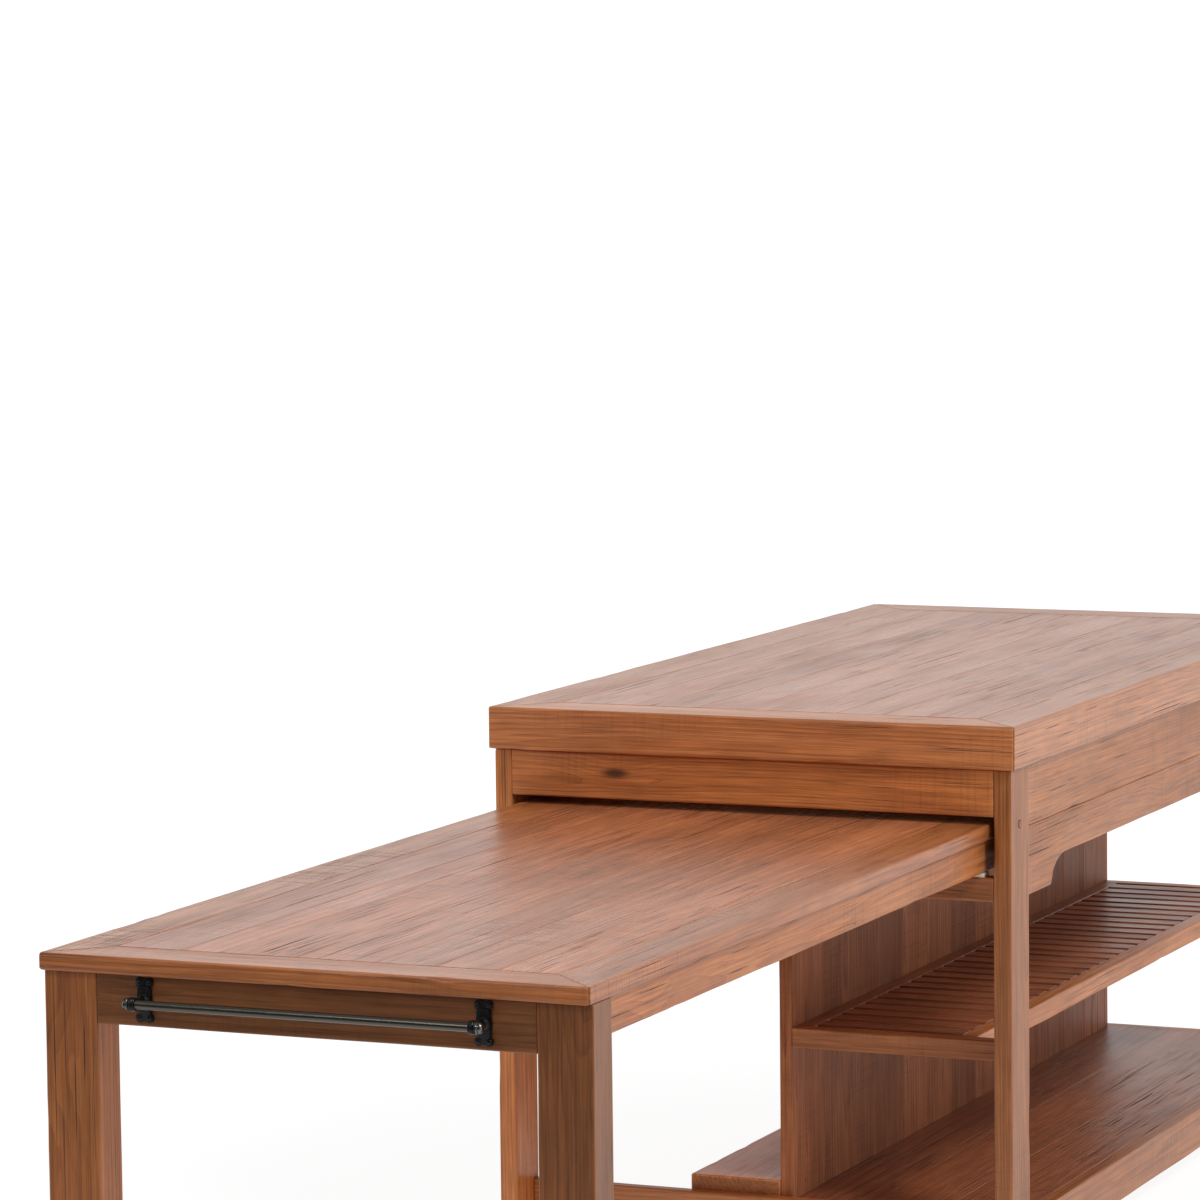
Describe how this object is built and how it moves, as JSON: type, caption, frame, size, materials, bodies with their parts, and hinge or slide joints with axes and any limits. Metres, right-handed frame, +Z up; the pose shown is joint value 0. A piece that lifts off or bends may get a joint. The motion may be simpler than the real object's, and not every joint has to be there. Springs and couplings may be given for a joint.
{
  "type": "kitchen island with pull-out table",
  "caption": "Plank-topped kitchen island with a slatted shelf and foot board, and a lower dining table on legs that slides out of one end.",
  "frame": {"origin": "on the floor, under the middle of the whole object with its table pulled out", "axes": "+Z up, +Y along the island from the table end to the closed end, +X towards the shelf side"},
  "size_m": [0.914, 3.431, 0.914],
  "materials": {
    "island_top_wood": "waxed reclaimed pine, satin",
    "table_top_wood": "waxed reclaimed pine, satin",
    "frame_wood": "stained reclaimed pine, satin",
    "divider_wood": "stained reclaimed pine, satin",
    "shelf_wood": "stained reclaimed pine, satin",
    "inner_wood": "plain sawn pine",
    "plug_wood": "stained hardwood",
    "black_iron": "black, semi-gloss",
    "bar_steel": "dark gunmetal, brushed",
    "pad_plastic": "matte",
    "glide_plastic": "matte"
  },
  "bodies": {
    "island": {"top_border_front": "island_top_wood", "top_border_back": "island_top_wood", "top_border_left": "island_top_wood", "top_border_right": "island_top_wood", "top_planks": "island_top_wood", "top_battens": "inner_wood", "leg_front_left": "frame_wood", "leg_front_right": "frame_wood", "leg_back_left": "frame_wood", "leg_back_right": "frame_wood", "end_rail_front": "frame_wood", "end_rail_back": "frame_wood", "side_apron_left_upper": "frame_wood", "side_apron_left_lower": "frame_wood", "side_apron_right_upper": "frame_wood", "side_apron_right_lower": "frame_wood", "cross_rail_front": "frame_wood", "cross_rail_back": "frame_wood", "runner_left": "inner_wood", "runner_right": "inner_wood", "keeper_left": "inner_wood", "keeper_right": "inner_wood", "stop_bar": "inner_wood", "slide_pads": "pad_plastic", "divider_planks": "divider_wood", "divider_stile_front": "divider_wood", "divider_stile_back": "divider_wood", "divider_top_rail": "divider_wood", "slat_shelf_rail_front": "frame_wood", "slat_shelf_rail_back": "frame_wood", "slat_shelf_rail_inner": "frame_wood", "slat_shelf_rail_outer": "frame_wood", "slat_shelf_slats": "shelf_wood", "low_shelf_boards": "shelf_wood", "base_rail_right": "frame_wood", "stretcher_front": "frame_wood", "stretcher_back": "frame_wood", "base_sleepers": "inner_wood", "base_bearers": "inner_wood", "foot_board": "shelf_wood", "foot_rail": "frame_wood", "foot_cleat": "inner_wood", "leg_plugs": "plug_wood", "leg_glides": "glide_plastic"},
    "table": {"table_border_end": "table_top_wood", "table_border_inner": "table_top_wood", "table_border_left": "table_top_wood", "table_border_right": "table_top_wood", "table_planks": "table_top_wood", "table_leg_left": "frame_wood", "table_leg_right": "frame_wood", "table_apron_end": "frame_wood", "table_apron_sides": "frame_wood", "table_apron_inner": "frame_wood", "table_stop_cleat": "inner_wood", "table_glides": "glide_plastic", "towel_bar": "bar_steel", "towel_bar_brackets": "black_iron", "towel_bar_caps": "black_iron", "towel_bar_screws": "black_iron"}
  },
  "joints": [
    {"name": "table_slide", "type": "slide", "parent": "island", "child": "table", "axis": [0, 1, 0], "range_m": [0, 1.496]}
  ]
}
